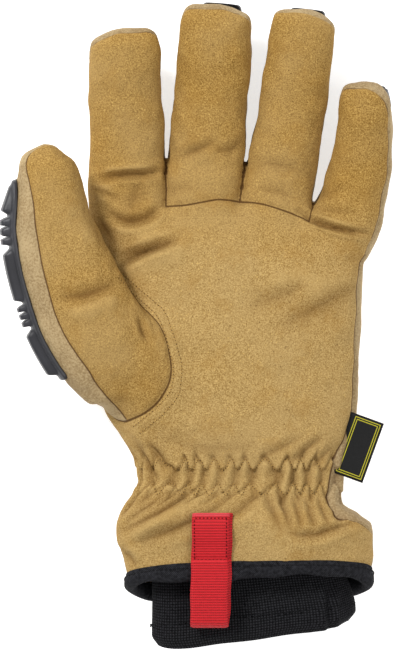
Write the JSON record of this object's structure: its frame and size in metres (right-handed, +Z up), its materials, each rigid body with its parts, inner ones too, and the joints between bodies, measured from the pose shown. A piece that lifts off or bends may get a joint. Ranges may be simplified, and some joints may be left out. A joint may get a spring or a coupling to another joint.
{
  "type": "insulated work glove",
  "caption": "Left insulated work glove with suede palm, gathered wrist, knitted inner cuff, pull loop and rubber impact guards, lying palm up.",
  "frame": {"origin": "centre of the glove's outline, on the surface that its back lies on", "axes": "+X from the thumb side to the little finger's side, +Y from the cuff to the fingertips, +Z up out of the palm"},
  "size_m": [0.1818, 0.2972, 0.058],
  "materials": {
    "gold_suede": "suede",
    "beige_leather": "matt grain",
    "black_binding": "folded edge binding",
    "black_knit": "close rib knit",
    "red_webbing": "ribbed webbing",
    "black_label": "woven",
    "black_rubber": "matt"
  },
  "bodies": {
    "root": {"palm_panel": "gold_suede", "middle_finger_panel": "gold_suede", "ring_finger_panel": "gold_suede", "back_panel": "beige_leather", "thumb_palm_panel": "gold_suede", "thumb_back_panel": "beige_leather", "hem_binding": "black_binding", "knit_cuff": "black_knit", "pull_loop": "red_webbing", "side_label": "black_label", "thumb_guard": "black_rubber", "index_guard": "black_rubber", "middle_guard": "black_rubber", "ring_guard": "black_rubber", "little_guard": "black_rubber"}
  },
  "joints": []
}
